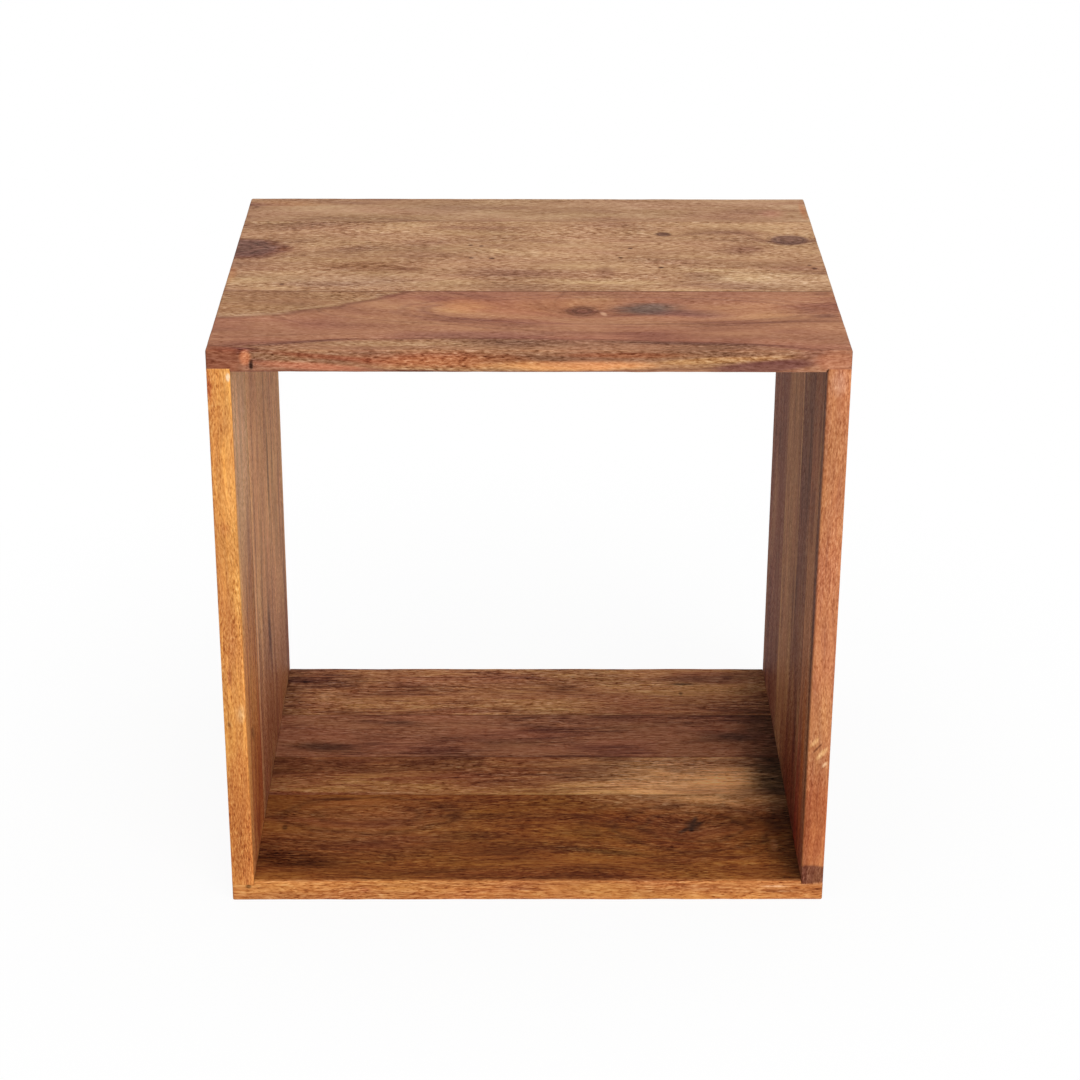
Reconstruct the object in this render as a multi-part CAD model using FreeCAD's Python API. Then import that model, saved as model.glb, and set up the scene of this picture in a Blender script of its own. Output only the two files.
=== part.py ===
import FreeCAD, Part
import os

# An open cube table of solid wood: a top, a base and two sides, each glued up from boards.
# Millimetres. +X is to the right, +Y to the back, +Z up, and the origin is on the floor
# below the middle of the table.

# Outside of the table
table_width = 435.0
table_depth = 330.0
table_height = 435.0

# Thickness of the panels
top_thickness = 16.0
base_thickness = 16.0
side_thickness = 16.0

# Rounding that sanding gives the arrises of each panel before assembly
arris_radius = 1.5

# Rebates in the top and the base that take the ends of the sides, and the room for glue
# between the shoulder of a rebate and the side
rebate_depth = 2.5
rebate_shoulder_gap = 0.2

# Widths of the boards in each panel; one board in each is trimmed to what the others leave
top_front_board_width = 116.0
top_back_board_width = 57.0
base_second_board_width = 58.0
base_third_board_width = 68.0
base_back_board_width = 81.0
left_front_board_width = 88.0
left_back_board_width = 117.0
right_front_board_width = 63.0
right_second_board_width = 62.0
right_third_board_width = 95.0

# Glued dowels that hold the sides to the top and the base
dowel_diameter = 8.0
dowel_chamfer = 1.0
dowel_length_in_side = 22.0
dowel_length_in_panel = 8.0
dowel_count = 3
dowel_edge_distance = 37.0
dowel_radial_clearance = 0.1
dowel_end_gap = 0.5

# Faces and lines that the pieces share
outer_x = table_width / 2
front_y = -table_depth / 2
back_y = table_depth / 2
side_inner_x = outer_x - side_thickness
shoulder_x = side_inner_x - rebate_shoulder_gap
top_underside_z = table_height - top_thickness
top_rebate_z = top_underside_z + rebate_depth
base_rebate_z = base_thickness - rebate_depth
trimmed = None


def box(low, high):
    """A box between two corners."""
    size = [b - a for a, b in zip(low, high)]
    return Part.makeBox(*size, FreeCAD.Vector(*low))


def lying_panel(bottom, top, rebate_bottom, rebate_top):
    """A panel across the full width, eased on every arris, with a rebate along each end."""
    slab = box((-outer_x, front_y, bottom), (outer_x, back_y, top))
    eased = slab.makeFillet(arris_radius, slab.Edges)
    left_rebate = box((-outer_x, front_y, rebate_bottom), (-shoulder_x, back_y, rebate_top))
    right_rebate = box((shoulder_x, front_y, rebate_bottom), (outer_x, back_y, rebate_top))
    return eased.cut([left_rebate, right_rebate])


def upright_panel(left, right):
    """A side of the case, eased on its long arrises, with square ends for the rebates."""
    slab = box((left, front_y, base_rebate_z), (right, back_y, top_rebate_z))
    long_arrises = [edge for edge in slab.Edges if edge.BoundBox.ZLength > slab.BoundBox.ZLength / 2]
    return slab.makeFillet(arris_radius, long_arrises)


def turned_pin(radius, chamfer, bottom, length):
    """An upright round pin with chamfered ends, turned about the Z axis."""
    top = bottom + length
    outline = [(0, bottom), (radius - chamfer, bottom), (radius, bottom + chamfer),
               (radius, top - chamfer), (radius - chamfer, top), (0, top), (0, bottom)]
    points = [FreeCAD.Vector(x, 0, z) for x, z in outline]
    profile = Part.Face(Part.makePolygon(points))
    return profile.revolve(FreeCAD.Vector(0, 0, 0), FreeCAD.Vector(0, 0, 1), 360)


def along_a_corner(solid, x):
    """Copies of a dowel or a hole along one corner of the case, evenly spaced from front to back."""
    pitch = (table_depth - 2 * dowel_edge_distance) / (dowel_count - 1)
    places = [front_y + dowel_edge_distance + pitch * i for i in range(dowel_count)]
    return [solid.translated(FreeCAD.Vector(x, y, 0)) for y in places]


def dowelled_corners():
    """The four rows of dowels by name, and the blind holes that they are glued into."""
    feet = {"top": top_rebate_z - dowel_length_in_side, "base": base_rebate_z - dowel_length_in_panel}
    middles = {"left": -outer_x + side_thickness / 2, "right": outer_x - side_thickness / 2}
    length = dowel_length_in_side + dowel_length_in_panel
    radius = dowel_diameter / 2
    rows = {}
    holes = []
    for level, foot in feet.items():
        dowel = turned_pin(radius, dowel_chamfer, foot, length)
        hole_foot = FreeCAD.Vector(0, 0, foot - dowel_end_gap)
        hole = Part.makeCylinder(radius + dowel_radial_clearance, length + 2 * dowel_end_gap, hole_foot)
        for side, x in middles.items():
            rows[level + "_" + side + "_dowels"] = Part.makeCompound(along_a_corner(dowel, x))
            holes += along_a_corner(hole, x)
    return rows, holes


def boards_of(panel, widths):
    """A panel ripped into its boards from front to back, with the trimmed one filling the depth."""
    others = sum(width for width in widths.values() if width is not trimmed)
    bounds = panel.BoundBox
    boards = {}
    front = front_y
    for name, width in widths.items():
        back = front + (table_depth - others if width is trimmed else width)
        strip = box((bounds.XMin, front, bounds.ZMin), (bounds.XMax, back, bounds.ZMax))
        boards[name] = panel.common(strip)
        front = back
    return boards


top_boards = boards_of(lying_panel(top_underside_z, table_height, top_underside_z, top_rebate_z), {
    "top_front_board": top_front_board_width,
    "top_middle_board": trimmed,
    "top_back_board": top_back_board_width,
})
base_boards = boards_of(lying_panel(0, base_thickness, base_rebate_z, base_thickness), {
    "base_front_board": trimmed,
    "base_second_board": base_second_board_width,
    "base_third_board": base_third_board_width,
    "base_back_board": base_back_board_width,
})
left_boards = boards_of(upright_panel(-outer_x, -side_inner_x), {
    "left_side_front_board": left_front_board_width,
    "left_side_middle_board": trimmed,
    "left_side_back_board": left_back_board_width,
})
right_boards = boards_of(upright_panel(side_inner_x, outer_x), {
    "right_side_front_board": right_front_board_width,
    "right_side_second_board": right_second_board_width,
    "right_side_third_board": right_third_board_width,
    "right_side_back_board": trimmed,
})

nodes, dowel_holes = dowelled_corners()
for boards in (top_boards, base_boards, left_boards, right_boards):
    for name, board in boards.items():
        nodes[name] = board.cut(dowel_holes)

os.makedirs("parts", exist_ok=True)
for name, shape in nodes.items():
    shape.exportStep("parts/" + name + ".step")
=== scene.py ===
import math

import bpy
from mathutils import Matrix, Vector


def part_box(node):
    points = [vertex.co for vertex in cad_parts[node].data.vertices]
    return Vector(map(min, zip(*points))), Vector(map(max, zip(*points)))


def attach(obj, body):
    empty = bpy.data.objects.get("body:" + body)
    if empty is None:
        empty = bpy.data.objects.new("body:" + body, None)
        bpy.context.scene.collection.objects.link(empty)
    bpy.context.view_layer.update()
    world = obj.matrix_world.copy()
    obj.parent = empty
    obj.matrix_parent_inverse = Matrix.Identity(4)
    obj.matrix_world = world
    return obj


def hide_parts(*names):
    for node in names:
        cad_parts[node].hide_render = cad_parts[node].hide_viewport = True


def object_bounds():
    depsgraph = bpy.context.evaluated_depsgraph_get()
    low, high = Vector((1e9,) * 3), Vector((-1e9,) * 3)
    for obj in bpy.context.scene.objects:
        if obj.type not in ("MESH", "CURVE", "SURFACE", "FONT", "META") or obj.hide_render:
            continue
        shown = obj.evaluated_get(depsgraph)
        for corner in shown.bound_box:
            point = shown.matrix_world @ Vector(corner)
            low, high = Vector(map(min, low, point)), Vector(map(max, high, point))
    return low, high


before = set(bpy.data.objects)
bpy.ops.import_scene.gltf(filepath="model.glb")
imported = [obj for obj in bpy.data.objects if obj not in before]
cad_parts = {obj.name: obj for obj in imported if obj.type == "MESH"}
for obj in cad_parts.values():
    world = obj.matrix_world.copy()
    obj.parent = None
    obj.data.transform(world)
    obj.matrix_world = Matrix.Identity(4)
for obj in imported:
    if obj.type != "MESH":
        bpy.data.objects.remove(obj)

cad_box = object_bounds()

# The base, which is also the shelf: four boards of solid sheesham, glued edge to edge, planed
# flush and eased along the outer arrises with sandpaper. A rebate along each end of its upper
# side takes the foot of a side panel, and blind holes there take its dowels.

mm = 0.001
NUMBER = "ShaderNodeMath"
VECTOR = "ShaderNodeVectorMath"
SPAN = "ShaderNodeMapRange"
NOISE = "ShaderNodeTexNoise"
MIX = "ShaderNodeMix"

# A Mix node has inputs of one name for numbers and for colours, so they are called by their place
FROM_NUMBER, TO_NUMBER = 2, 3
FROM, TO = 6, 7
OF_COLOURS = dict(output=2, data_type="RGBA")


def add(tree, kind, *inputs, named=None, output=0, **settings):
    """Adds a node to a tree, fills its inputs by value or by link, and gives one of its outputs."""
    node = tree.nodes.new(kind)
    for setting, value in settings.items():
        setattr(node, setting, value)
    filled = list(zip(node.inputs, inputs))
    filled += [(node.inputs[key], value) for key, value in (named or {}).items()]
    for socket, value in filled:
        if isinstance(value, bpy.types.NodeSocket):
            tree.links.new(value, socket)
        elif value is not None:
            socket.default_value = value
    return node.outputs[output]


def board_tree():
    """A board between two corners, sanded round along its eased faces, rebated at its ends and drilled."""
    tree = bpy.data.node_groups.new("sanded board", "GeometryNodeTree")
    kinds = {
        "Low": "Vector", "High": "Vector", "Eased Low": "Vector", "Eased High": "Vector",
        "Arris Radius": "Float", "Arris Rows": "Float", "Row Spacing": "Float",
        "Wear": "Float", "Wear Length": "Float", "Seed": "Float",
        "Rebated": "Bool", "Rebate Middle": "Vector", "Rebate Size": "Vector",
        "First Hole": "Vector", "Last Hole": "Vector", "Holes In Row": "Int",
        "Hole Radius": "Float", "Hole Length": "Float", "Wood": "Material",
    }
    for name, kind in kinds.items():
        tree.interface.new_socket(name, in_out="INPUT", socket_type="NodeSocket" + kind)
    tree.interface.new_socket("Board", in_out="OUTPUT", socket_type="NodeSocketGeometry")
    given = tree.nodes.new("NodeGroupInput").outputs

    # Rows of points, close together in the band along each face that may be sanded round
    size = add(tree, VECTOR, given["High"], given["Low"], operation="SUBTRACT")
    most_wear = add(tree, NUMBER, given["Wear"], 1.0, operation="ADD")
    band = add(tree, NUMBER, given["Arris Radius"], most_wear, operation="MULTIPLY")
    both_bands = add(tree, NUMBER, band, 2.0, operation="MULTIPLY")
    middle = add(tree, VECTOR, size, both_bands, operation="SUBTRACT")
    spaces = add(tree, VECTOR, middle, given["Row Spacing"], operation="DIVIDE")
    middle_rows = add(tree, VECTOR, spaces, operation="CEIL")
    band_rows = add(tree, NUMBER, given["Arris Rows"], 2.0, operation="MULTIPLY")
    last_row = add(tree, VECTOR, middle_rows, band_rows, operation="ADD")
    count = add(tree, VECTOR, last_row, (1, 1, 1), operation="ADD")
    counts = add(tree, "ShaderNodeSeparateXYZ", count).node.outputs
    block = add(tree, "GeometryNodeMeshCube", (1, 1, 1), *counts)
    from_corner = add(tree, VECTOR, add(tree, "GeometryNodeInputPosition"), (0.5, 0.5, 0.5), operation="ADD")
    row = add(tree, VECTOR, from_corner, last_row, operation="MULTIPLY")
    in_low_band = add(tree, VECTOR, row, given["Arris Rows"], operation="MINIMUM")
    past_low_band = add(tree, VECTOR, row, in_low_band, operation="SUBTRACT")
    in_middle = add(tree, VECTOR, past_low_band, middle_rows, operation="MINIMUM")
    in_high_band = add(tree, VECTOR, past_low_band, in_middle, operation="SUBTRACT")
    in_bands = add(tree, VECTOR, in_low_band, in_high_band, operation="ADD")
    band_space = add(tree, NUMBER, band, given["Arris Rows"], operation="DIVIDE")
    middle_space = add(tree, VECTOR, middle, middle_rows, operation="DIVIDE")
    along_bands = add(tree, VECTOR, in_bands, band_space, given["Low"], operation="MULTIPLY_ADD")
    square = add(tree, VECTOR, in_middle, middle_space, along_bands, operation="MULTIPLY_ADD")

    # Sanding draws every point outside the core of the board in to the arris radius, which
    # wanders along the board as a hand-held sanding block leaves it
    wear_place = add(tree, VECTOR, square, given["Wear Length"], operation="DIVIDE")
    wear = add(tree, NOISE, wear_place, given["Seed"], 1.0, 1.0, noise_dimensions="4D")
    wear_either_way = add(tree, SPAN, wear, 0.3, 0.7, -1.0, 1.0)
    worn = add(tree, NUMBER, wear_either_way, given["Wear"], 1.0, operation="MULTIPLY_ADD")
    radius = add(tree, NUMBER, worn, given["Arris Radius"], operation="MULTIPLY")
    inset_low = add(tree, VECTOR, given["Eased Low"], radius, given["Low"], operation="MULTIPLY_ADD")
    inset_high = add(tree, VECTOR, given["Eased High"], radius, operation="MULTIPLY")
    core_high = add(tree, VECTOR, given["High"], inset_high, operation="SUBTRACT")
    below_high = add(tree, VECTOR, square, core_high, operation="MINIMUM")
    core = add(tree, VECTOR, below_high, inset_low, operation="MAXIMUM")
    outside = add(tree, VECTOR, square, core, operation="SUBTRACT")
    reach = add(tree, VECTOR, outside, output="Value", operation="LENGTH")
    to_arris = add(tree, NUMBER, radius, reach, operation="DIVIDE")
    drawn_in = add(tree, NUMBER, to_arris, 1.0, operation="MINIMUM")
    sanded = add(tree, VECTOR, outside, drawn_in, core, operation="MULTIPLY_ADD")
    off_square = add(tree, SPAN, drawn_in, 1.0, math.sqrt(0.5), 0.0, 1.0)
    noted = add(tree, "GeometryNodeStoreNamedAttribute", block, None, "arris", off_square,
                data_type="FLOAT", domain="POINT")
    eased = add(tree, "GeometryNodeSetPosition", noted, named={"Position": sanded})

    # The two rebates, alike about the middle of the table
    cutter = add(tree, "GeometryNodeMeshCube", given["Rebate Size"], 2, 2, 2)
    right = add(tree, "GeometryNodeTransform", cutter, named={"Translation": given["Rebate Middle"]})
    left_middle = add(tree, VECTOR, given["Rebate Middle"], (-1, 1, 1), operation="MULTIPLY")
    left = add(tree, "GeometryNodeTransform", cutter, named={"Translation": left_middle})
    both = add(tree, "GeometryNodeJoinGeometry", left).node
    tree.links.new(right, both.inputs[0])
    rebated = add(tree, "GeometryNodeMeshBoolean", eased, both.outputs[0], operation="DIFFERENCE")
    shaped = add(tree, "GeometryNodeSwitch", given["Rebated"], eased, rebated, input_type="GEOMETRY")

    # The dowel holes of the case, a row to each corner; a board is drilled by those that it meets
    spread = add(tree, VECTOR, given["Last Hole"], given["First Hole"], operation="SUBTRACT")
    half_way = add(tree, VECTOR, spread, (0.5, 0.5, 0.5), given["First Hole"], operation="MULTIPLY_ADD")
    corners = add(tree, "GeometryNodeMeshCube", spread, 2, given["Holes In Row"], 2)
    places = add(tree, "GeometryNodeTransform", corners, named={"Translation": half_way})
    sides = 24
    drill = add(tree, "GeometryNodeMeshCylinder", sides, 1, 1, given["Hole Radius"], given["Hole Length"])
    drills = add(tree, "GeometryNodeInstanceOnPoints", places, named={"Instance": drill})
    holes = add(tree, "GeometryNodeRealizeInstances", drills)
    drilled = add(tree, "GeometryNodeMeshBoolean", shaped, holes, operation="DIFFERENCE")

    # Shaded smooth where it is sanded round, sharp at the glued faces and in the rebates
    sharpest_smooth = math.radians(50)
    angle = add(tree, "GeometryNodeInputMeshEdgeAngle")
    crease = add(tree, "FunctionNodeCompare", angle, sharpest_smooth, operation="GREATER_THAN")
    smooth = add(tree, "GeometryNodeSetShadeSmooth", drilled, named={"Shade Smooth": True})
    creased = add(tree, "GeometryNodeSetShadeSmooth", smooth, crease, False, domain="EDGE")
    real = add(tree, "GeometryNodeRealizeInstances", creased)
    wooden = add(tree, "GeometryNodeSetMaterial", real, named={"Material": given["Wood"]})
    tree.links.new(wooden, tree.nodes.new("NodeGroupOutput").inputs[0])
    return tree


def made_by(tree, name, settings):
    """A plain mesh object that a Geometry Nodes tree makes from its named inputs."""
    piece = bpy.data.objects.new(name, bpy.data.meshes.new(name))
    bpy.context.scene.collection.objects.link(piece)
    modifier = piece.modifiers.new("tree", "NODES")
    modifier.node_group = tree
    for socket in tree.interface.items_tree:
        if socket.name in settings:
            modifier[socket.identifier] = settings[socket.name]
    made = piece.evaluated_get(bpy.context.evaluated_depsgraph_get())
    piece.data = bpy.data.meshes.new_from_object(made)
    piece.modifiers.remove(modifier)
    return piece


def linear(colour):
    """The linear values of an sRGB hex colour."""
    values = [int(colour[i:i + 2], 16) / 255 for i in (1, 3, 5)]
    return [v / 12.92 if v <= 0.04045 else ((v + 0.055) / 1.055) ** 2.4 for v in values] + [1.0]


def mark(place, half, colour="#3a2219", fill=0.0, soft=0.5, ragged=0.35, figure=0.2, fleck=None, rings=0.0,
         rim=0.0, rim_width=0.07, rim_colour=None, lift=0.0, reach=1.6, turn=(0, 0, 0)):
    """A knot, stain or pocket of other wood: an ellipsoid in millimetres, which the grain bends round.

    Fill is the strength of its colour, soft and ragged are the kind of border it has, and figure and fleck
    are how much of the board's figure and dashes it shows. Rings are growth lines in it, and a rim is one
    along its border. Lift is how far it pushes the grain aside, and reach is how far out, by its size.
    """
    return dict(place=place, half=half, colour=colour, fill=fill, soft=soft, ragged=ragged, figure=figure,
                fleck=fleck, rings=rings, rim=rim, rim_width=rim_width, rim_colour=rim_colour, lift=lift,
                reach=reach, turn=[math.radians(degrees) for degrees in turn])


def sheesham(name, low, high, upright, tones, seed, pith, seams, marks, ring, ribbon, streak, fleck, dash,
             cloud=0.6, line=0.3):
    """Solid sheesham with ribbons of colour, growth lines, knots and fine dashes along the grain.

    A ring and a dash are given by their size in millimetres, the other patterns by their strength. The pith
    is the middle of the tree, across the grain from the middle of the board. Sanding leaves the surface even,
    oil deepens its colours, and a thin satin lacquer gives it a soft sheen in which the pores stay open and
    nothing is mirrored.
    """
    material = bpy.data.materials.new(name)
    material.use_nodes = True
    tree = material.node_tree
    shader = tree.nodes["Principled BSDF"]
    pale, body, dark = [linear(tone) for tone in tones]

    # Sizes of the patterns in millimetres, along the grain and across it, and how far the grain moves aside
    # as it wanders and ripples. Real pores are under 0.3 mm wide, so they and the dashes are drawn coarser in
    # order to show, and so are the glue lines
    wander_size, wander_reach = (240, 70, 70), (0, 24, 24)
    ripple_size, ripple_reach = (48, 16, 16), (0, 3, 3)
    ragged_size = (24, 9, 9)
    ribbon_size = (420, ring, 1)
    streak_size = (70, 2.4, 2.4)
    cloud_size = (90, 22, 22)
    line_size = (500, 3.4, 1)
    dash_size = (dash[0], dash[1], dash[1])
    pore_size = (4, 0.9, 0.9)
    glue_line, glue_line_edge = 0.3, 1.1
    knot_rings = 9.0

    # Place in millimetres, the same place with the grain laid along the first axis, and that place moved far
    # off by the seed, so that each board has patterns of its own
    metres = add(tree, "ShaderNodeTexCoord", output="Object")
    place = add(tree, VECTOR, metres, named={"Scale": 1 / mm}, operation="SCALE")
    to_grain = math.pi / 2 if upright else 0.0
    grain = add(tree, "ShaderNodeVectorRotate", place, named={"Angle": to_grain}, rotation_type="Y_AXIS")
    centre = Matrix.Rotation(to_grain, 3, "Y") @ (low + high) / 2 / mm
    own_tree = (seed * 371.0, seed * 173.0, seed * 97.0)
    other = add(tree, VECTOR, grain, own_tree, operation="ADD")

    # The grain wanders on its way along the board and bends round the knots
    wander_place = add(tree, VECTOR, other, wander_size, operation="DIVIDE")
    wander = add(tree, NOISE, wander_place, None, 1.0, 2.0, output="Color")
    wander_offset = add(tree, VECTOR, wander, (0.5, 0.5, 0.5), operation="SUBTRACT")
    ripple_place = add(tree, VECTOR, other, ripple_size, operation="DIVIDE")
    ripple = add(tree, NOISE, ripple_place, None, 1.0, 1.0, output="Color")
    ripple_offset = add(tree, VECTOR, ripple, (0.5, 0.5, 0.5), operation="SUBTRACT")
    ragged_place = add(tree, VECTOR, other, ragged_size, operation="DIVIDE")
    ragged = add(tree, NUMBER, add(tree, NOISE, ragged_place, None, 1.0, 4.0), 0.5, operation="SUBTRACT")
    lift = 0.0
    distances = []
    for spot in marks:
        offset = add(tree, "ShaderNodeMapping", place, spot["place"], spot["turn"], spot["half"],
                     vector_type="TEXTURE")
        distance = add(tree, VECTOR, offset, output="Value", operation="LENGTH")
        distances.append(add(tree, NUMBER, ragged, spot["ragged"], distance, operation="MULTIPLY_ADD"))
        if spot["lift"]:
            square = add(tree, NUMBER, distance, 2.0, operation="POWER")
            fall = add(tree, NUMBER, square, -1 / spot["reach"] ** 2, operation="MULTIPLY")
            hill = add(tree, NUMBER, fall, operation="EXPONENT")
            lift = add(tree, NUMBER, hill, spot["lift"], lift, operation="MULTIPLY_ADD")
    bend = add(tree, "ShaderNodeCombineXYZ", 0.0, lift, 0.0)
    rippled = add(tree, VECTOR, ripple_offset, ripple_reach, bend, operation="MULTIPLY_ADD")
    bent = add(tree, VECTOR, wander_offset, wander_reach, rippled, operation="MULTIPLY_ADD")
    flow = add(tree, VECTOR, bent, other, operation="ADD")
    from_pith = add(tree, VECTOR, add(tree, VECTOR, bent, grain, operation="ADD"),
                    (centre.x, centre.y + pith[0], centre.z + pith[1]), operation="SUBTRACT")
    flat = add(tree, VECTOR, from_pith, (0, 1, 1), operation="MULTIPLY")
    radius = add(tree, VECTOR, flat, output="Value", operation="LENGTH")
    rings = add(tree, NUMBER, radius, lift, operation="ADD")
    length = add(tree, "ShaderNodeSeparateXYZ", other)
    ring_place = add(tree, "ShaderNodeCombineXYZ", length, rings, seed * 53.0)

    # Ribbons of colour along the growth rings, streaks in them, and clouds that catch the light
    ribbon_place = add(tree, VECTOR, ring_place, ribbon_size, operation="DIVIDE")
    streak_place = add(tree, VECTOR, flow, streak_size, operation="DIVIDE")
    cloud_place = add(tree, VECTOR, flow, cloud_size, operation="DIVIDE")
    clouds = add(tree, NOISE, cloud_place, None, 1.0, 2.0, 0.5, output="Color")
    cloud_parts = add(tree, "ShaderNodeSeparateXYZ", clouds).node.outputs
    ribbons = add(tree, NOISE, ribbon_place, None, 1.0, 4.0, 0.65)
    streaks = add(tree, NOISE, streak_place, None, 1.0, 3.0, 0.6)
    tone = 0.5
    for pattern, weight in ((ribbons, ribbon), (streaks, streak), (cloud_parts[2], cloud)):
        either_way = add(tree, NUMBER, pattern, 0.5, operation="SUBTRACT")
        tone = add(tree, NUMBER, either_way, weight, tone, operation="MULTIPLY_ADD")
    to_body = add(tree, SPAN, tone, 0.25, 0.5)
    to_pale = add(tree, SPAN, tone, 0.5, 0.75)
    colour = add(tree, MIX, to_body, named={FROM: dark, TO: body}, **OF_COLOURS)
    colour = add(tree, MIX, to_pale, named={FROM: colour, TO: pale}, **OF_COLOURS)

    # Thin dark growth lines
    line_place = add(tree, VECTOR, ring_place, line_size, operation="DIVIDE")
    growth = add(tree, NOISE, line_place, None, 1.0, 1.0)
    growth_line = add(tree, SPAN, growth, 0.6, 0.7, 0.0, line, interpolation_type="SMOOTHSTEP")
    colour = add(tree, MIX, growth_line, named={FROM: colour, TO: dark}, **OF_COLOURS)

    # Knots, stains and pockets of sapwood, each with the figure of the board in it
    fleck_here = fleck
    for spot, distance in zip(marks, distances):
        inside = add(tree, SPAN, distance, 1.0, 1.0 - spot["soft"], 0.0, spot["fill"],
                     interpolation_type="SMOOTHSTEP")
        shade = add(tree, SPAN, tone, 0.3, 0.7, 1 - spot["figure"], 1 + spot["figure"])
        if spot["rings"]:
            turns = add(tree, NUMBER, distance, knot_rings, operation="MULTIPLY")
            knot_ring = add(tree, NOISE, None, turns, 1.0, 2.0, noise_dimensions="1D")
            ring_shade = add(tree, SPAN, knot_ring, 0.3, 0.7, 1 - spot["rings"], 1 + spot["rings"])
            shade = add(tree, NUMBER, shade, ring_shade, operation="MULTIPLY")
        core = add(tree, "ShaderNodeHueSaturation", 0.5, 1.0, shade, 1.0, linear(spot["colour"]))
        colour = add(tree, MIX, inside, named={FROM: colour, TO: core}, **OF_COLOURS)
        if spot["rim"]:
            from_edge = add(tree, NUMBER, distance, 1.0, operation="SUBTRACT")
            off_edge = add(tree, NUMBER, from_edge, operation="ABSOLUTE")
            rim = add(tree, SPAN, off_edge, 0.0, spot["rim_width"], spot["rim"], 0.0)
            rim_tone = linear(spot["rim_colour"]) if spot["rim_colour"] else dark
            colour = add(tree, MIX, rim, named={FROM: colour, TO: rim_tone}, **OF_COLOURS)
        if spot["fleck"] is not None:
            fleck_here = add(tree, MIX, inside, named={FROM_NUMBER: fleck_here, TO_NUMBER: spot["fleck"]})

    # Fine dashes and pores: the dark ones are redder and the pale ones straw, and some places are calmer
    dash_place = add(tree, VECTOR, flow, dash_size, operation="DIVIDE")
    dashes = add(tree, NOISE, dash_place, None, 1.0, 2.0, 0.6)
    either_dash = add(tree, SPAN, dashes, 0.25, 0.75, -1.0, 1.0)
    pore_place = add(tree, VECTOR, flow, pore_size, operation="DIVIDE")
    pore = add(tree, NOISE, pore_place, None, 1.0, 1.0)
    pores = add(tree, SPAN, pore, 0.56, 0.68)
    dotted = add(tree, NUMBER, pores, -0.8, either_dash, operation="MULTIPLY_ADD")
    calm = add(tree, SPAN, cloud_parts[1], 0.3, 0.7, 0.6, 1.4)
    strength = add(tree, NUMBER, calm, fleck_here, operation="MULTIPLY")
    grainy = add(tree, NUMBER, dotted, strength, operation="MULTIPLY")
    value = add(tree, NUMBER, grainy, 0.5, 1.0, operation="MULTIPLY_ADD")
    warmth = add(tree, NUMBER, grainy, -0.7, 1.0, operation="MULTIPLY_ADD")
    hue_drift = add(tree, NUMBER, cloud_parts[0], tone, operation="ADD")
    hue = add(tree, SPAN, hue_drift, 0.6, 1.4, 0.487, 0.508)
    colour = add(tree, "ShaderNodeHueSaturation", hue, 1.0, value, 1.0, colour)
    colour = add(tree, "ShaderNodeGamma", colour, warmth)

    # Glue lines at the front and the back of the board
    across = add(tree, "ShaderNodeSeparateXYZ", place, output=1)
    for edge, strength in zip((low.y / mm, high.y / mm), seams):
        if strength:
            away = add(tree, NUMBER, across, edge, operation="SUBTRACT")
            off = add(tree, NUMBER, away, operation="ABSOLUTE")
            seam = add(tree, SPAN, off, glue_line, glue_line_edge, strength, 0.0)
            colour = add(tree, MIX, seam, named={FROM: colour, TO: dark}, **OF_COLOURS)

    # End grain drinks more oil and is darker; the eased arrises are painted a little paler, as a painted
    # highlight where they catch the light
    facing = add(tree, "ShaderNodeTexCoord", output="Normal")
    grain_axis = (0, 0, 1) if upright else (1, 0, 0)
    end = add(tree, VECTOR, facing, grain_axis, output="Value", operation="DOT_PRODUCT")
    end_size = add(tree, NUMBER, end, operation="ABSOLUTE")
    ends = add(tree, SPAN, end_size, 0.4, 0.9, 0.0, 0.4)
    colour = add(tree, MIX, ends, named={FROM: colour, TO: dark}, **OF_COLOURS)
    arris = add(tree, "ShaderNodeAttribute", output="Fac", attribute_name="arris")
    # Painted highlight: the arrises are made paler
    sanded = add(tree, SPAN, arris, 0.1, 1.0, 1.0, 1.15)
    colour = add(tree, "ShaderNodeHueSaturation", 0.5, 0.95, sanded, 1.0, colour)

    # Open pores are rougher and lower than the lacquer; its gloss is kept faint, as white walls all round
    # would lay a grey veil on the colours
    gloss = 0.03
    rough = add(tree, SPAN, pores, 0.0, 1.0, 0.6, 0.8)
    height = add(tree, NUMBER, pores, -0.5, dashes, operation="MULTIPLY_ADD")
    bump = add(tree, "ShaderNodeBump", named={"Strength": 0.3, "Distance": 0.15 * mm, "Height": height})
    tree.links.new(colour, shader.inputs["Base Color"])
    tree.links.new(rough, shader.inputs["Roughness"])
    tree.links.new(bump, shader.inputs["Normal"])
    shader.inputs["IOR"].default_value = 1.5
    shader.inputs["Specular IOR Level"].default_value = gloss
    return material


sanded_board = board_tree()
front_y, back_y = cad_box[0].y, cad_box[1].y

# A cutter stands this far out of the wood, and a face this near the front or back is at it
clear = 1 * mm

# The dowels and the room for glue round and past them give the holes
pins_in_row = 3
first_pins, last_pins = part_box("base_left_dowels"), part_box("top_right_dowels")
pin_radius = (first_pins[1].x - first_pins[0].x) / 2
pin_length = first_pins[1].z - first_pins[0].z
pin_inset = Vector((pin_radius, pin_radius, pin_length / 2))
first_hole = first_pins[0] + pin_inset
last_hole = last_pins[1] - pin_inset
glue_round = 0.1 * mm
glue_past = 0.5 * mm


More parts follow.
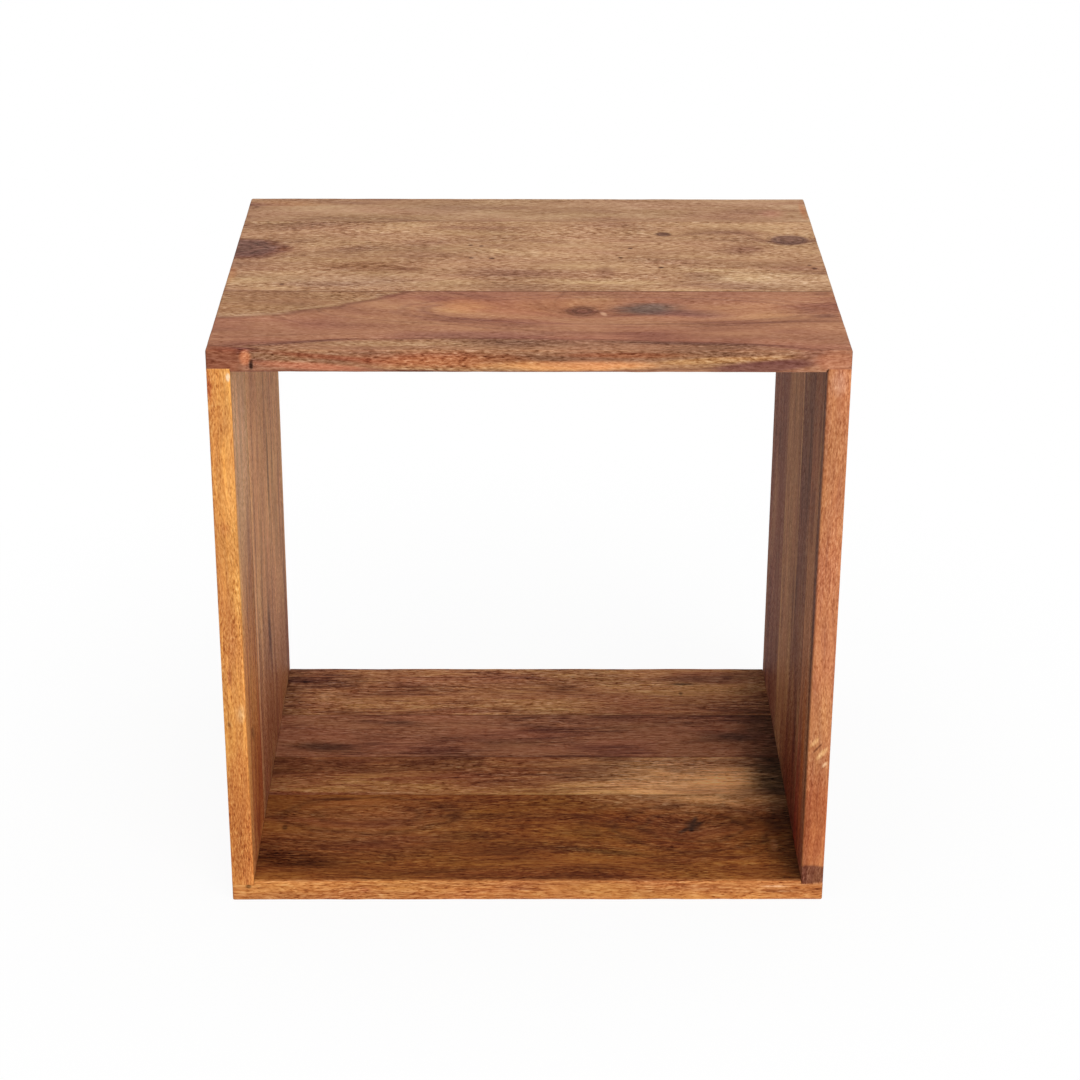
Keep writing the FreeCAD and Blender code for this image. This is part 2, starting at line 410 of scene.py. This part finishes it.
def board(name, tones, seed, pith, seams, marks=(), rebate=None, **figure):
    """A board of the case in place of its CAD solid, eased where its panel has an outer arris."""
    low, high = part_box(name)
    upright = high.z - low.z > high.x - low.x
    title = "oiled and lacquered sheesham, " + name.replace("_", " ")
    wood = sheesham(title, low, high, upright, tones, seed, pith, seams, marks, **figure)
    at_front = low.y < front_y + clear
    at_back = high.y > back_y - clear
    settings = {
        "Low": low, "High": high, "Eased Low": Vector((1, at_front, not upright)),
        "Eased High": Vector((1, at_back, not upright)),
        "Arris Radius": 1.5 * mm, "Arris Rows": 4.0, "Row Spacing": 9 * mm,
        "Wear": 0.3, "Wear Length": 26 * mm, "Seed": float(seed), "Wood": wood,
        "First Hole": first_hole, "Last Hole": last_hole, "Holes In Row": pins_in_row,
        "Hole Radius": pin_radius + glue_round, "Hole Length": pin_length + 2 * glue_past,
    }
    if rebate:
        rebate_low, rebate_high = rebate
        settings["Rebated"] = True
        settings["Rebate Middle"] = (rebate_low + rebate_high) / 2
        settings["Rebate Size"] = rebate_high - rebate_low
    piece = made_by(sanded_board, name + "_sanded", settings)
    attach(piece, "root")
    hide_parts(name)


side_low, side_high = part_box("left_side_front_board")
shoulder_gap = 0.2 * mm
shoulder_x = -side_high.x - shoulder_gap
base_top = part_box("base_front_board")[1].z
base_rebate = (Vector((shoulder_x, front_y - clear, side_low.z)),
               Vector((-side_low.x + clear, back_y + clear, base_top + clear)))
shelf_wood = dict(rebate=base_rebate, ring=15, dash=(9, 1.1))

# Faces that carry marks, in millimetres: the shelf, the inner faces and, just before them, the front edges
shelf = base_top / mm
left_face = side_high.x / mm + 0.5
right_face = -left_face
edge = front_y / mm - 1


def painted_corner_shade(left, right, reach):
    """Painted shade in the inner corners between a base board and the sides, deepest at the right."""
    left_corner, right_corner = (left_face - 5, 0, shelf + 2), (right_face + 5, 0, shelf + 2)
    return [mark(left_corner, (34, 400, 16), "#2a160e", left, soft=0.95, ragged=0.6),
            mark(right_corner, (reach, 400, 16), "#1c0c06", right, soft=0.8, ragged=0.6)]


# The grain swirls round two places on the shelf. At the right one is a knot, from whose heart cracks run out
# like a star, given by their direction in degrees and their length
left_swirl = (-122, -72, shelf)
knot_x, knot_y = 126, -88
right_swirl = (knot_x + 1, knot_y - 2, shelf)
star = []
for angle, reach in ((32, 13), (75, 17), (223, 19), (257, 10)):
    middle_x = knot_x + reach * math.cos(math.radians(angle)) / 2
    middle_y = knot_y + reach * math.sin(math.radians(angle)) / 2
    star.append(mark((middle_x, middle_y, shelf), (reach / 2, 3.2, 8), "#30201a", 0.8, soft=0.9, ragged=0.5,
                     turn=(0, 0, angle)))
base_front_marks = [
    mark((-125, -85, shelf), (115, 60, 40), "#b6753d", 0.55, soft=0.95),
    mark(left_swirl, (68, 27, 60), "#9a5c2c", 0.4, soft=0.9, rings=0.4, figure=0.3, lift=12),
    mark(left_swirl, (66, 26, 60), rim=0.5, rim_width=0.14, rim_colour="#54290f", ragged=0.5),
    mark(left_swirl, (40, 13, 60), rim=0.4, rim_width=0.18, rim_colour="#54290f", ragged=0.5),
    mark((-185, -90, shelf), (3, 5, 8), "#3a1a0c", 0.6, soft=0.7, ragged=0.8),
    mark((-146, -49, shelf), (22, 3, 12), "#3e1e0c", 0.5, soft=0.8),
    mark((160, -36, shelf), (150, 46, 30), "#e0a468", 0.9, soft=0.95, ragged=0.6, figure=0.4),
    mark(right_swirl, (62, 34, 60), "#8c4e26", 0.65, soft=0.8, rings=0.3, figure=0.3, lift=16),
    mark(right_swirl, (84, 46, 60), rim=0.3, rim_width=0.12, rim_colour="#5a3016", ragged=0.6),
    mark(right_swirl, (60, 33, 60), rim=0.6, rim_width=0.15, rim_colour="#5a3016", ragged=0.6),
    mark(right_swirl, (38, 20, 60), rim=0.5, rim_width=0.16, rim_colour="#5a3016", ragged=0.6),
    mark((knot_x, knot_y + 1, shelf), (10, 12, 12), "#33211a", 0.9, soft=0.9, ragged=0.6, lift=5),
    mark((-38, -102, shelf), (46, 9, 20), "#3c1a08", 0.5, soft=0.9),
    mark((50, -123, shelf), (60, 6, 20), "#40200e", 0.6, soft=0.9, turn=(0, 0, -9)),
    mark((186, -114, shelf), (4, 12, 8), "#c07c44", 0.6, soft=0.7, ragged=0.8),
]
base_edge_marks = [
    mark((0, edge, 8), (900, 6, 30), "#cd843c", 0.9, soft=0.6, ragged=0.2, figure=0.25, fleck=0.5),
    mark((-120, edge, 9), (7, 4, 3), "#b45a30", 0.5, soft=0.8),
    mark((-5, edge, 10), (26, 4, 2.6), "#84401e", 0.65, soft=0.8, turn=(0, 5, 0)),
    mark((185, edge, 7.5), (18, 4, 1.6), "#7a3c1c", 0.6, soft=0.8),
    mark((182, edge, 12), (15, 4, 1.5), "#f0b47c", 0.6, soft=0.8),
    # Painted shade: a dark spot where the left side meets the base at the front
    mark((-205.5, edge, 12), (3, 3, 2.4), "#5a3414", 0.8, soft=0.6),
]
board("base_front_board", tones=("#b0691d", "#905218", "#522908"), seed=3, pith=(-20, -60), seams=(0, 0.25),
      marks=base_front_marks + star + painted_corner_shade(0, 0.75, 38) + base_edge_marks,
      ribbon=0.9, streak=0.45, line=0.5, fleck=0.5, **shelf_wood)
base_second_marks = [
    mark((165, -14, shelf), (190, 70, 40), "#ffc07c", 0.93, soft=0.95, ragged=0.6, figure=0.4),
    mark((-112, -39, shelf), (34, 1.4, 8), "#d0a070", 0.6, soft=0.7, ragged=0.5),
]
board("base_second_board", tones=("#c78b4c", "#a76737", "#68391a"), seed=4, pith=(15, -50), seams=(0.25, 0.5),
      marks=base_second_marks + painted_corner_shade(0.14, 0.93, 52),
      ribbon=1.1, streak=0.8, line=0.4, fleck=0.6, **shelf_wood)
base_third_marks = [
    mark((-166, 33, shelf), (34, 12, 30), "#4a2a1c", 0.75, soft=0.9, ragged=0.6, lift=6),
    mark((-103, 72, shelf), (22, 4, 20), "#3a2220", 0.5, soft=0.8),
    mark((168, 48, shelf), (40, 14, 20), "#3e2824", 0.65, soft=0.9, ragged=0.6),
]
board("base_third_board", tones=("#bf7e59", "#ab6f4a", "#592f1e"), seed=5, pith=(-10, -80), seams=(0.5, 0.6),
      marks=base_third_marks + painted_corner_shade(0.1, 0.75, 52),
      ribbon=0.9, streak=0.7, line=0.4, fleck=0.42, **shelf_wood)
base_back_marks = [
    mark((150, 146, shelf), (56, 14, 20), "#52302a", 0.55, soft=0.9, ragged=0.6),
    mark((131, 137, shelf), (15, 2.6, 8), "#2a1812", 0.8, soft=0.7),
    mark((129, 121, shelf), (2.5, 4, 6), "#3a2018", 0.6, soft=0.8),
    mark((169, 148, shelf), (8, 6, 8), "#5a2a20", 0.5, soft=0.8),
    mark((-166, 116, shelf), (24, 13, 20), "#d09a60", 0.5, soft=0.9),
    mark((122, 96, shelf), (14, 1.2, 6), "#c89a74", 0.5, soft=0.8),
]
board("base_back_board", tones=("#d09359", "#b57749", "#663a23"), seed=6, pith=(10, -60), seams=(0.6, 0),
      marks=base_back_marks + painted_corner_shade(0.5, 0.52, 52),
      ribbon=1.1, streak=0.8, line=0.4, fleck=0.62, **shelf_wood)

# The left side: three upright boards of sheesham, glued edge to edge and planed flush, honey-coloured along
# the front. It stands in the rebates of the base and the top and is held by glue and dowels in its ends.

side_wood = dict(ring=13, ribbon=1.1, streak=0.6, cloud=0.45, line=0.2, fleck=0.5, dash=(3.4, 1.0))
left_side_front_marks = [
    # Painted light: the upper front of the left inner face is made paler where the key light falls on it
    mark((left_face, -120, 350), (12, 110, 180), "#f5ca98", 0.65, soft=0.95),
    mark((left_face, -164, 110), (8, 30, 190), "#d08a40", 0.7, soft=0.9),
    # Painted shade: the lower front of the left inner face is darker and warmer, with the warm light thrown
    # up from the shelf
    mark((left_face, -100, 60), (30, 75, 150), "#9e460b", 0.8, soft=0.95),
    mark((left_face, -128, 120), (10, 20, 6), "#5a2c16", 0.5, soft=0.8, turn=(-35, 0, 0)),
    mark((-209, edge, 217), (30, 8, 900), "#eba042", 0.9, soft=0.5, fleck=0.42, figure=0.25),
    mark((-209, edge, 60), (30, 8, 120), "#a64a10", 0.6, soft=0.9, fleck=0.42, figure=0.25),
    mark((-217, -165, 408), (4, 6, 14), "#b4551f", 0.75, soft=0.7),
    mark((-203, edge, 415), (2, 4, 4), "#f6d8b4", 0.85, soft=0.7, ragged=0.8),
    mark((-210, edge, 303), (7, 4, 10), "#c26a2a", 0.45, soft=0.8, ragged=0.7),
    mark((-212, edge, 186), (2.4, 4, 12), "#a24a22", 0.6, soft=0.8, ragged=0.7),
    mark((-205, edge, 157), (5, 4, 10), "#f2c688", 0.5, soft=0.8, ragged=0.8),
    mark((-214, edge, 148), (2, 4, 4), "#7a4420", 0.6, soft=0.8, ragged=0.8),
]
# The pale tones of the left boards are partly the wood's own and partly painted light, for the light that the
# key at the front right throws on the left inner face
board("left_side_front_board", tones=("#eca552", "#ce873f", "#8a5126"), seed=11, pith=(10, -60),
      seams=(0, 0.3), marks=left_side_front_marks, **side_wood)
left_side_middle_marks = [
    # Painted shade at the foot of the inner face, with the warm light thrown up from the shelf
    mark((left_face, -15, 40), (30, 200, 150), "#863f13", 0.7, soft=0.95),
    mark((left_face, 18, 126), (14, 14, 52), "#6a4034", 0.8, soft=0.8, turn=(12, 0, 0)),
]
board("left_side_middle_board", tones=("#f8bc7d", "#d99c66", "#8e5b3b"), seed=12, pith=(10, -60),
      seams=(0.3, 0.3), marks=left_side_middle_marks, **side_wood)
left_side_back_marks = [
    # Painted shade at the foot of the inner face, with the warm light thrown up from the shelf
    mark((left_face, 100, 40), (30, 200, 120), "#863f13", 0.7, soft=0.95),
    mark((left_face, 50, 252), (14, 7, 60), "#7a5038", 0.75, soft=0.8),
]
board("left_side_back_board", tones=("#f8bc7d", "#d99c66", "#8e5b3b"), seed=13, pith=(-10, -60),
      seams=(0.3, 0), marks=left_side_back_marks, **side_wood)

# The right side: four upright boards of darker, redder sheesham, made and fixed like the left side; their
# darker tone is partly painted shade on the inner face, which looks away from the key light. A dark band
# along the inner front corner is painted shade, and the foot is painted darker and redder: painted shade with
# the warm light that the shelf throws up.

right_side_front_marks = [
    # Painted shade: darker and redder towards the foot, with the warm light that the shelf throws up
    mark((right_face, -90, 20), (30, 110, 130), "#802200", 0.93, soft=0.9, figure=0.5),
    # A dark band along the inner front corner: painted shade
    mark((right_face, -155, 230), (3.5, 12, 300), "#4a2418", 0.65, soft=0.8),
    mark((right_face, -132, 100), (4, 14, 110), "#a85408", 0.7, soft=0.9, ragged=0.6),
    mark((209, edge, 217), (30, 7, 900), "#c37c48", 0.85, soft=0.5, fleck=0.27, figure=0.25),
    mark((209, edge, 65), (30, 7, 60), "#af521a", 0.6, soft=0.7, fleck=0.25, figure=0.25),
    mark((209, edge, 411), (9, 4, 14), "#dca884", 0.45, soft=0.8),
    mark((205.5, edge, 133), (2.4, 4, 8), "#eab070", 0.75, soft=0.7, ragged=0.5, turn=(0, 38, 0)),
    mark((208, edge, 128.5), (1.3, 4, 9), "#6a3018", 0.75, soft=0.7, ragged=0.8, turn=(0, 38, 0)),
    mark((211.5, edge, 124), (3, 4, 9.5), "#f2ba78", 0.85, soft=0.7, ragged=0.4, turn=(0, 38, 0)),
    mark((214, edge, 115), (1.9, 4, 4.4), "#f0c08c", 0.8, soft=0.7, ragged=0.8, turn=(0, 38, 0)),
    mark((209, -165, 22), (30, 6, 9), "#6e3c2c", 0.85, soft=0.3, fleck=0.4),
]
board("right_side_front_board", tones=("#c5865a", "#a36a41", "#683f28"), seed=21, pith=(10, 60),
      seams=(0, 0.3), marks=right_side_front_marks, **side_wood)
# Painted shade at the foot of the inner face, with the warm light thrown up from the shelf
foot = mark((right_face, -60, 20), (30, 120, 120), "#661e00", 0.85, soft=0.9)
board("right_side_second_board", tones=("#b58557", "#915e3e", "#593926"), seed=22, pith=(10, 60),
      seams=(0.3, 0.3), marks=[foot], **side_wood)
board("right_side_third_board", tones=("#cf9e6b", "#b17d51", "#714b32"), seed=23, pith=(10, 60),
      seams=(0.3, 0.3), marks=[foot], **side_wood)
board("right_side_back_board", tones=("#ad7655", "#945d40", "#5d3625"), seed=24, pith=(10, 60),
      seams=(0.3, 0), **side_wood)

# The top: three boards of paler sheesham, glued, planed flush and eased like the base. The front board has
# an arc of sapwood and a grey knot. Rebates below take the heads of the sides, and blind holes their dowels.

top = cad_box[1].z / mm
top_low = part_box("top_front_board")[0].z
top_rebate = (Vector((shoulder_x, front_y - clear, top_low - clear)),
              Vector((-side_low.x + clear, back_y + clear, side_high.z)))
top_wood = dict(rebate=top_rebate, ribbon=0.6, streak=0.2)
top_front_marks = [
    mark((-235, 142, top), (240, 245, 100), "#9b714c", 0.9, soft=0.015, rim=0.6, rim_width=0.022, ragged=0.04,
         figure=0.35, fleck=0.42, lift=-50, reach=1.0),
    mark((-235, 146, top), (236, 244, 100), rim=0.28, rim_width=0.012, rim_colour="#d0a880", ragged=0.04),
    mark((-195, -98, top), (36, 4, 12), "#d0a880", 0.45, soft=0.8, ragged=0.5, turn=(0, 0, 8)),
    mark((60, -88, top), (152, 33, 60), rim=0.3, rim_width=0.05, rim_colour="#74453a", ragged=0.15),
    mark((60, -88, top), (136, 27, 60), rim=0.5, rim_width=0.06, rim_colour="#74453a", ragged=0.15, lift=14),
    mark((8, -82, top), (95, 30, 30), "#b87c48", 0.45, soft=0.95),
    mark((-44, -78, top), (27, 22, 30), "#c08550", 0.7, soft=0.85),
    mark((-142, -120, top), (95, 26, 20), "#8f5a44", 0.35, soft=0.95),
    mark((-38, -136, top), (95, 12, 30), "#7d4f45", 0.5, soft=0.9, ragged=0.5),
    mark((-5, -165, top), (205, 22, 16), "#976b49", 0.85, soft=0.1, rim=0.6, rim_width=0.07, ragged=0.15,
         figure=0.5, fleck=0.45, lift=6, reach=1.2, turn=(0, 0, -1)),
    mark((-92, -153, top), (76, 7, 8), "#af895f", 0.6, soft=0.8),
    mark((106, -152, top), (98, 4, 8), "#603a2c", 0.75, soft=0.8, ragged=0.5, turn=(0, 0, -3.4)),
    mark((-156, -150.5, top), (50, 3.4, 8), "#64392e", 0.7, soft=0.8, ragged=0.5, turn=(0, 0, 11)),
    mark((84, -85, top), (35, 16, 30), "#69594f", 0.8, soft=0.75, ragged=0.8, fleck=0.35, lift=5),
    mark((116, -95, top), (42, 11, 20), "#7a5046", 0.75, soft=0.9, ragged=0.6, turn=(0, 0, -8)),
    mark((37, -89, top), (17, 16, 30), "#6c4230", 0.85, soft=0.7, rings=0.6, fleck=0.35, lift=8),
    mark((52, -95, top), (3, 6, 8), "#d2a27c", 0.75, soft=0.7, turn=(0, 0, 18)),
    mark((160, -88, top), (64, 26, 30), "#c08a5c", 0.5, soft=0.95),
    mark((206, -98, top), (15, 6, 20), "#6a4034", 0.6, soft=0.8),
    mark((208, -54, top), (9, 5, 10), "#744632", 0.5, soft=0.8),
    mark((-201, -163, top), (24, 5, 5), "#6a2c26", 0.7, soft=0.6, ragged=0.5),
    mark((-214, -165, top - 7), (22, 9, 30), "#945736", 0.8, soft=0.3, fleck=0.25),
    mark((-135, edge, top - 5), (60, 5, 3), "#8c4626", 0.75, soft=0.7, ragged=0.5, fleck=0.4, turn=(0, 5, 0)),
    mark((-148, edge, top - 11.5), (52, 5, 4), "#c87a52", 0.75, soft=0.7, ragged=0.5, fleck=0.3,
         turn=(0, 3, 0)),
    mark((-60, edge, top - 7), (80, 5, 8), "#a65a2f", 0.7, soft=0.6, ragged=0.5, figure=0.3, fleck=0.5),
    mark((-75, edge, top - 15), (38, 4, 1.4), "#5a2a22", 0.7, soft=0.7),
    mark((30, edge, top - 11), (76, 5, 5), "#ec9e5a", 0.72, soft=0.6, ragged=0.5, figure=0.3, fleck=0.5),
    mark((62, edge, top - 3.5), (64, 5, 3), "#94542c", 0.75, soft=0.7, ragged=0.5, fleck=0.5),
    mark((128, edge, top - 7), (60, 5, 3), "#c28c54", 0.7, soft=0.6, ragged=0.5, fleck=0.5, turn=(0, -3, 0)),
    mark((160, edge, top - 11.5), (48, 5, 5.5), "#6f413a", 0.85, soft=0.5, ragged=0.4, fleck=0.15,
         turn=(0, -4, 0)),
    mark((207, edge, top - 8), (20, 5, 11), "#b06e4c", 0.8, soft=0.6, ragged=0.4, fleck=0.2),
    mark((-191, edge, top - 5), (5, 4, 8), "#d8844c", 0.75, soft=0.7, ragged=0.8),
    mark((-187, edge, top - 11), (2.2, 4, 5), "#24140f", 0.9, soft=0.7, ragged=0.8, lift=3),
    # Painted shade: a dark spot in the small gap at the inner corner under the top at the front right
    mark((202, -165, top - 15), (2.4, 2.5, 2.2), "#2a120a", 0.9, soft=0.6),
]
board("top_front_board", tones=("#ba845e", "#a26d4e", "#6a3d2d"), seed=31, pith=(-30, -60), seams=(0, 1),
      marks=top_front_marks, ring=12, cloud=0.5, line=0.35, fleck=0.22, dash=(5, 1.2), **top_wood)
speck_places = ((97, 2), (209, 1), (206, 8), (-43, 52), (-35, 50), (-42, 23), (-27, 22), (76, 45), (68, 24),
                (-177, -35))
specks = [mark((x, y, top), (2.6, 2, 4), "#4e2c20", 0.85, soft=0.7, ragged=0.8) for x, y in speck_places]
top_middle_marks = [
    mark((-222, 44, top - 5), (50, 27, 60), "#7c4c36", 0.8, soft=0.2, ragged=0.3),
    mark((-222, 44, top - 5), (41, 24, 60), "#775345", 0.9, soft=0.25, rim=0.55, rings=0.4,
         figure=0.4, fleck=0.3, lift=12),
    mark((-181, 42, top - 5), (9, 6, 50), "#865434", 0.6, soft=0.7),
    mark((196, 65, top - 5), (17, 14, 50), "#6f4c3f", 0.9, soft=0.3, rim=0.4, rings=0.4, fleck=0.25, lift=9),
    mark((102, 78, top - 5), (8, 7, 30), "#5c382c", 0.9, soft=0.5, ragged=0.6, lift=4),
    mark((159, 42, top), (24, 18, 20), "#84583f", 0.8, soft=0.85, ragged=0.8),
    mark((-119, 4, top), (64, 21, 14), "#84502f", 0.75, soft=0.95, ragged=0.4),
    mark((-88, -2, top), (12, 6, 12), "#7e4c34", 0.7, soft=0.9, ragged=0.8),
    mark((-127, 103, top), (18, 6, 10), "#94643f", 0.6, soft=0.9, ragged=0.8),
    mark((-215, -15, top), (5, 28, 8), "#b0703f", 0.5, soft=0.9, ragged=0.8),
    mark((128, -17, top), (22, 13, 20), "#84583f", 0.7, soft=0.85, ragged=0.8),
    # Partly the wood's colour and partly a painted shadow
    mark((56, -7, top), (11, 16, 20), "#84583f", 0.6, soft=0.85, ragged=0.8),
    mark((-130, -28, top), (90, 20, 20), "#c09c7a", 0.35, soft=0.95),
    mark((170, -28, top), (80, 26, 20), "#c09c7a", 0.4, soft=0.95),
]
board("top_middle_board", tones=("#ca9e73", "#aa7e59", "#7b533c"), seed=32, pith=(10, -80), seams=(1, 0.2),
      marks=top_middle_marks + specks, ring=14, cloud=0.6, fleck=0.45, dash=(5.5, 1.5), **top_wood)
top_back_marks = [
    mark((-211, 143, top), (3, 2, 4), "#5a3426", 0.7, soft=0.8),
    mark((189, 128, top), (14, 15, 20), "#b27a60", 0.6, soft=0.9),
    mark((214, 135, top), (4, 28, 8), "#b0683a", 0.55, soft=0.9, ragged=0.8),
    # A grey-brown smear, partly the wood's colour and partly a painted shadow
    mark((-60, 140, top), (60, 22, 10), "#8c6650", 0.4, soft=0.95, ragged=0.6),
    mark((-185, 152, top), (40, 12, 10), "#b87f52", 0.45, soft=0.95, ragged=0.6),
]
board("top_back_board", tones=("#c39a76", "#a67c59", "#79523f"), seed=33, pith=(-10, -70), seams=(0.2, 0),
      marks=top_back_marks, ring=14, cloud=0.6, fleck=0.28, dash=(5.5, 1.5), **top_wood)


# The dowels: twelve pins of bare beech, three hidden in each corner joint. They are turned, fluted along the
# sides so that glue can flow, and chamfered at the ends so that they start in their holes.

def dowel_tree():
    """A row of fluted dowels: pins with flutes down the sides and a chamfer at each end."""
    tree = bpy.data.node_groups.new("fluted dowels", "GeometryNodeTree")
    kinds = {"First": "Vector", "Step": "Vector", "Count": "Int", "Radius": "Float", "Length": "Float",
             "Chamfer": "Float", "Flutes": "Int", "Flute Depth": "Float", "Wood": "Material"}
    for name, kind in kinds.items():
        tree.interface.new_socket(name, in_out="INPUT", socket_type="NodeSocket" + kind)
    tree.interface.new_socket("Dowels", in_out="OUTPUT", socket_type="NodeSocketGeometry")
    given = tree.nodes.new("NodeGroupInput").outputs
    points_per_flute, rows_along, rings_at_ends = 6.0, 30, 2
    around = add(tree, NUMBER, given["Flutes"], points_per_flute, operation="MULTIPLY")
    pin = add(tree, "GeometryNodeMeshCylinder", around, rows_along, rings_at_ends, 1.0, given["Length"])
    place = add(tree, "GeometryNodeInputPosition")
    spot = add(tree, "ShaderNodeSeparateXYZ", place).node.outputs
    angle = add(tree, NUMBER, spot[1], spot[0], operation="ARCTAN2")
    turned = add(tree, NUMBER, angle, given["Flutes"], operation="MULTIPLY")
    wave = add(tree, NUMBER, turned, operation="COSINE")
    hollow = add(tree, SPAN, wave, 0.0, 1.0, 0.0, 1.0)
    depth = add(tree, NUMBER, hollow, given["Flute Depth"], operation="MULTIPLY")
    side = add(tree, NUMBER, given["Radius"], depth, operation="SUBTRACT")
    half = add(tree, NUMBER, given["Length"], 0.5, operation="MULTIPLY")
    height = add(tree, NUMBER, spot[2], operation="ABSOLUTE")
    from_end = add(tree, NUMBER, half, height, operation="SUBTRACT")
    cone = add(tree, NUMBER, given["Radius"], given["Chamfer"], operation="SUBTRACT")
    at_end = add(tree, NUMBER, cone, from_end, operation="ADD")
    reach = add(tree, NUMBER, side, at_end, operation="MINIMUM")
    scale = add(tree, "ShaderNodeCombineXYZ", reach, reach, 1.0)
    shaped = add(tree, VECTOR, place, scale, operation="MULTIPLY")
    fluted = add(tree, "GeometryNodeSetPosition", pin, named={"Position": shaped})
    row = add(tree, "GeometryNodeMeshLine", named={"Count": given["Count"], "Start Location": given["First"],
                                                   "Offset": given["Step"]})
    pins = add(tree, "GeometryNodeInstanceOnPoints", row, named={"Instance": fluted})
    real = add(tree, "GeometryNodeRealizeInstances", pins)
    wooden = add(tree, "GeometryNodeSetMaterial", real, named={"Material": given["Wood"]})
    tree.links.new(wooden, tree.nodes.new("NodeGroupOutput").inputs[0])
    return tree


# Bare beech from the lathe is pale, dry and dull, with short fibres along the pin
beech = bpy.data.materials.new("turned beech, bare")
beech.use_nodes = True
tree = beech.node_tree
shader = tree.nodes["Principled BSDF"]
metres = add(tree, "ShaderNodeTexCoord", output="Object")
fibre_place = add(tree, VECTOR, metres, (0.8 * mm, 0.8 * mm, 9 * mm), operation="DIVIDE")
fibre = add(tree, NOISE, fibre_place, None, 1.0, 3.0)
shade = add(tree, SPAN, fibre, 0.3, 0.7)
colour = add(tree, MIX, shade, named={FROM: linear("#b98d5e"), TO: linear("#dcb98c")}, **OF_COLOURS)
rough = add(tree, SPAN, fibre, 0.3, 0.7, 0.8, 0.65)
bump = add(tree, "ShaderNodeBump", named={"Strength": 0.3, "Distance": 0.1 * mm, "Height": fibre})
tree.links.new(colour, shader.inputs["Base Color"])
tree.links.new(rough, shader.inputs["Roughness"])
tree.links.new(bump, shader.inputs["Normal"])
shader.inputs["IOR"].default_value = 1.5
fluted_dowels = dowel_tree()
for corner in ("base_left", "base_right", "top_left", "top_right"):
    row_low, row_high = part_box(corner + "_dowels")
    row_step = (row_high.y - row_low.y - 2 * pin_radius) / (pins_in_row - 1)
    row = made_by(fluted_dowels, corner + "_fluted_dowels", {
        "First": row_low + pin_inset, "Step": Vector((0, row_step, 0)), "Count": pins_in_row,
        "Radius": pin_radius, "Length": pin_length, "Chamfer": 1 * mm, "Flutes": 12, "Flute Depth": 0.35 * mm,
        "Wood": beech,
    })
    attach(row, "root")
    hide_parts(corner + "_dowels")


# The floor: a wide sheet of white paper, matt and even. A camera, mirror or glass sees it as plain white away
# from the table, and near the table as paper that keeps the table's shadow.

def seen_directly(tree):
    """One for what a camera, mirror or glass sees, and nought for light that falls on other things."""
    ray = tree.nodes.new("ShaderNodeLightPath").outputs
    seen = add(tree, NUMBER, ray["Is Camera Ray"], ray["Is Glossy Ray"], operation="MAXIMUM")
    return add(tree, NUMBER, seen, ray["Is Transmission Ray"], operation="MAXIMUM")


floor_mesh = bpy.data.meshes.new("floor")
far = 8.0
floor_corners = [(-far, -far, 0), (far, -far, 0), (far, far, 0), (-far, far, 0)]
floor_mesh.from_pydata(floor_corners, [], [(0, 1, 2, 3)])
floor = bpy.data.objects.new("floor", floor_mesh)
bpy.context.scene.collection.objects.link(floor)
paper = bpy.data.materials.new("matt white paper")
paper.use_nodes = True
tree = paper.node_tree
shader = tree.nodes["Principled BSDF"]
shader.inputs["Base Color"].default_value = linear("#f1f1f1")
shader.inputs["Roughness"].default_value = 0.9
place = add(tree, "ShaderNodeTexCoord", output="Object")
away = add(tree, VECTOR, place, output="Value", operation="LENGTH")
shadow_reach, white_reach = 0.25, 0.7
whiteness = add(tree, SPAN, away, shadow_reach, white_reach, 0.93, 1.0, interpolation_type="SMOOTHSTEP")
share = add(tree, NUMBER, whiteness, seen_directly(tree), operation="MULTIPLY")
glow = add(tree, "ShaderNodeEmission", (1, 1, 1, 1), 1.0)
surface = add(tree, "ShaderNodeMixShader", share, shader.outputs[0], glow)
tree.links.new(surface, tree.nodes["Material Output"].inputs[0])
floor_mesh.materials.append(paper)

# The light: an even white room, a wide softbox overhead and another at the front right, which is the key.
# Together they light a colour to about what is written. Seen directly or mirrored, the room is plain white.

world = bpy.data.worlds.new("studio")
bpy.context.scene.world = world
world.use_nodes = True
tree = world.node_tree
room_light = 0.5
level = add(tree, SPAN, seen_directly(tree), 0.0, 1.0, room_light, 1.0)
background = tree.nodes["Background"]
background.inputs["Color"].default_value = (1, 1, 1, 1)
tree.links.new(level, background.inputs["Strength"])


def softbox(name, place, size, energy):
    """A square lamp that faces the middle of the table."""
    lamp = bpy.data.lights.new(name, "AREA")
    lamp.size = size
    lamp.energy = energy
    holder = bpy.data.objects.new(name, lamp)
    holder.location = place
    middle = (cad_box[0] + cad_box[1]) / 2
    holder.rotation_euler = (middle - Vector(place)).to_track_quat("-Z", "Y").to_euler()
    bpy.context.scene.collection.objects.link(holder)


softbox("overhead", place=(0.0, -0.1, 2.4), size=1.6, energy=20)
softbox("key", place=(0.9, -2.0, 1.35), size=1.5, energy=28)

# The camera: it stands before the middle of the table and looks down on it. Its place, its angles in radians
# and its focal length in pixels come from a fit to the corners in the photograph; a small shift frames it
# as there.

photo_width = 1080
focal_length = 2581.56
framed_lower = 80
pitch, yaw, roll = 0.4130, 0.0096, 0.0047
stands_at = (-0.00801, -1.78061, 1.06273)
camera = bpy.data.cameras.new("camera")
camera.lens = focal_length / photo_width * camera.sensor_width
camera.shift_y = -framed_lower / photo_width
viewer = bpy.data.objects.new("camera", camera)
bpy.context.scene.collection.objects.link(viewer)
viewer.location = stands_at
look_down = Matrix.Rotation(math.pi / 2 - pitch, 3, "X")
turn = Matrix.Rotation(-yaw, 3, "Z") @ look_down @ Matrix.Rotation(roll, 3, "Z")
viewer.rotation_euler = turn.to_euler()
bpy.context.scene.camera = viewer
bpy.context.scene.view_settings.view_transform = "Standard"
